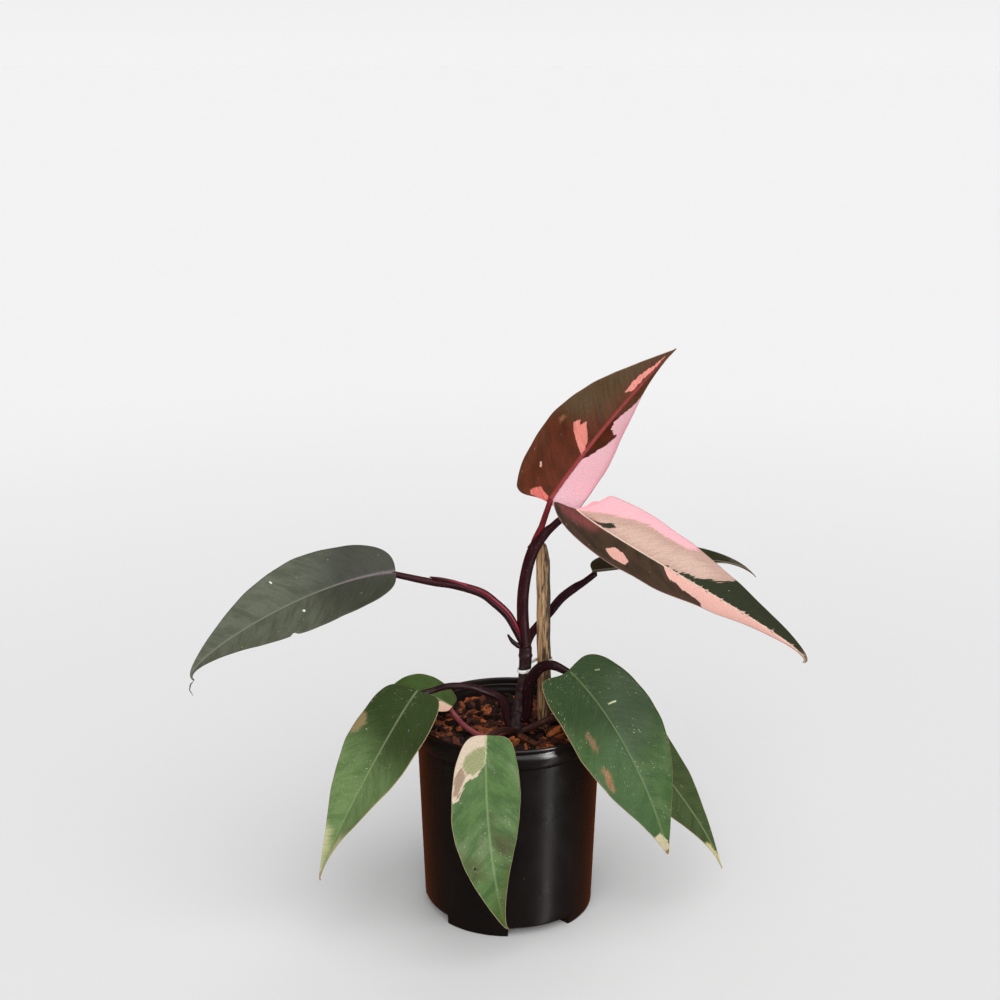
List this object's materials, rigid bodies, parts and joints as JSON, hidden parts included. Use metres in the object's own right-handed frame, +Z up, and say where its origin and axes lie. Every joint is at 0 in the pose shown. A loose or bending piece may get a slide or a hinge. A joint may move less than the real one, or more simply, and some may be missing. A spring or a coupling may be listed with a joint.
{
  "type": "potted philodendron",
  "caption": "House plant with pointed, two-coloured pink, dark green and cream leaves on wine-red stalks, held by a bamboo stake in a black nursery pot filled with bark mix",
  "frame": {"origin": "centre of the flat face that the pot rests on", "axes": "+Z up, -Y towards the side that the picture shows, +X to that view's right"},
  "size_m": [0.4716, 0.1897, 0.4543],
  "materials": {
    "pot": "black injection-moulded polypropylene with a soft sheen",
    "mix": "orange-brown bark chips and dark fibre",
    "stake": "weathered split bamboo, tan with dark mottling",
    "tie": "white plastic-covered wire, flat",
    "stem": "wine-red to grey plant skin",
    "petiole": "smooth wine-red plant skin",
    "blade_pink": "satin leaf, pink with dark green and brown sectors",
    "blade_green": "satin leaf, dark green with cream flecks and patches"
  },
  "bodies": {
    "root": {"nursery_pot": "pot", "potting_mix": "mix", "stake": "stake", "twist_tie": "tie", "main_stem": "stem", "petiole_top": "petiole", "petiole_pink": "petiole", "petiole_left": "petiole", "petiole_rear": "petiole", "petiole_low_left": "petiole", "petiole_small": "petiole", "petiole_front": "petiole", "petiole_low_right": "petiole", "petiole_far_right": "petiole", "blade_top": "blade_pink", "blade_pink": "blade_pink", "blade_left": "blade_green", "blade_rear": "blade_green", "blade_low_left": "blade_green", "blade_small": "blade_green", "blade_front": "blade_green", "blade_low_right": "blade_green", "blade_far_right": "blade_green"}
  },
  "joints": []
}
